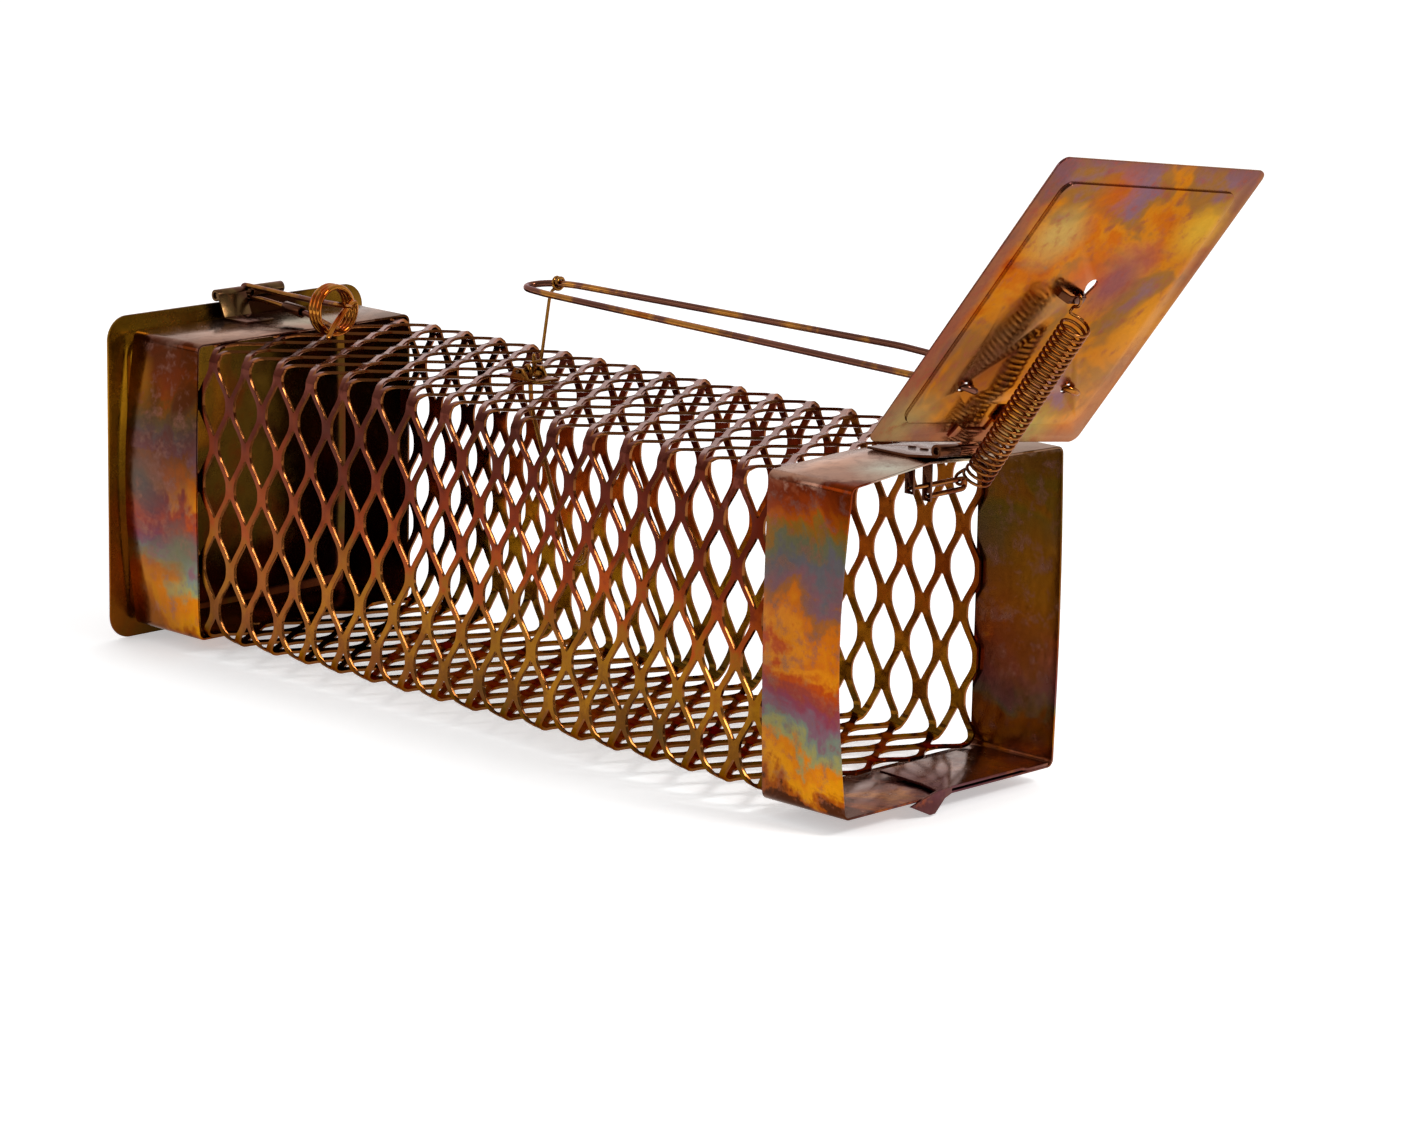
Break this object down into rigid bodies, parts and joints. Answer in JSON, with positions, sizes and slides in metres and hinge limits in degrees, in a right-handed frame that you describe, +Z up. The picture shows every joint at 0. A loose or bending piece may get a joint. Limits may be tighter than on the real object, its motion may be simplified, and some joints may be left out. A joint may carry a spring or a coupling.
{
  "type": "live capture cage trap",
  "caption": "Live-capture cage rat trap: expanded-metal cage with a spring-shut drop door, a wire lever with a trigger link and bait hook, and a hinged rear cover.",
  "frame": {"origin": "the middle of the front sill's flat underside, halfway along the front frame", "axes": "+X points out through the drop door's mouth, +Y to the far side of the cage, +Z up"},
  "size_m": [0.3975, 0.1171, 0.2066],
  "materials": {
    "frame_steel": "bright steel with an iridescent amber, red-brown and mauve passivated tint",
    "mesh_steel": "bright steel with an iridescent amber, red-brown and mauve passivated tint",
    "door_steel": "bright steel with an iridescent amber, red-brown and mauve passivated tint",
    "fitting_steel": "bright steel with an iridescent amber, red-brown and mauve passivated tint",
    "cover_steel": "bright steel with an iridescent amber, red-brown and mauve passivated tint",
    "wire_steel": "bright steel with an iridescent amber, red-brown and mauve passivated tint",
    "trigger_steel": "bright steel with an iridescent amber, red-brown and mauve passivated tint",
    "spring_steel": "bright steel with an iridescent amber, red-brown and mauve passivated tint"
  },
  "bodies": {
    "cage": {"front_frame": "frame_steel", "sill_lap": "frame_steel", "rear_frame": "frame_steel", "mesh_left": "mesh_steel", "mesh_top": "mesh_steel", "mesh_right": "mesh_steel", "mesh_floor": "mesh_steel", "hinge_strap": "fitting_steel", "strap_rivet_1": "fitting_steel", "strap_rivet_2": "fitting_steel", "hinge_pin": "fitting_steel", "anchor_lug_1": "fitting_steel", "anchor_lug_2": "fitting_steel", "spring_anchor": "wire_steel", "trigger_clip": "trigger_steel", "clip_pin": "fitting_steel", "rear_knuckle": "fitting_steel", "rear_pin": "fitting_steel", "keeper": "wire_steel", "tie_ring": "wire_steel", "keeper_sleeve": "fitting_steel"},
    "door": {"door_plate": "door_steel", "door_leaf": "door_steel", "door_gusset": "door_steel", "spring_bridge": "door_steel", "lever": "wire_steel"},
    "spring": {"door_spring": "spring_steel"},
    "link": {"trigger_link": "trigger_steel"},
    "hook": {"bait_hook": "trigger_steel"},
    "cover": {"rear_cover": "cover_steel", "cover_knuckle": "fitting_steel"}
  },
  "joints": [
    {"name": "door_hinge", "type": "hinge", "parent": "cage", "child": "door", "pos_m": [0.01865, 0, 0.1054], "axis": [0, 0.9972, -0.075], "range_deg": [0, 146.7]},
    {"name": "spring_swing", "type": "hinge", "parent": "cage", "child": "spring", "pos_m": [0.0152, 0.0015, 0.0956], "axis": [0, 0.9972, -0.075], "range_deg": [0, 147], "deforming": ["door_spring"]},
    {"name": "link_swing", "type": "hinge", "parent": "door", "child": "link", "pos_m": [-0.16185, 0.0061, 0.13012], "axis": [0.9882, 0.1482, 0.0395], "range_deg": [0, 60]},
    {"name": "hook_turn", "type": "hinge", "parent": "cage", "child": "hook", "pos_m": [-0.1685, 0, 0.1019], "axis": [0, 1, 0], "range_deg": [-14, 0]},
    {"name": "cover_hinge", "type": "hinge", "parent": "cage", "child": "cover", "pos_m": [-0.31345, 0, 0.1076], "axis": [0, 1, 0], "range_deg": [0, 110]}
  ],
  "couplings": [
    {"joint": "spring_swing", "follows": "door_hinge", "ratio": 0.9965}
  ]
}
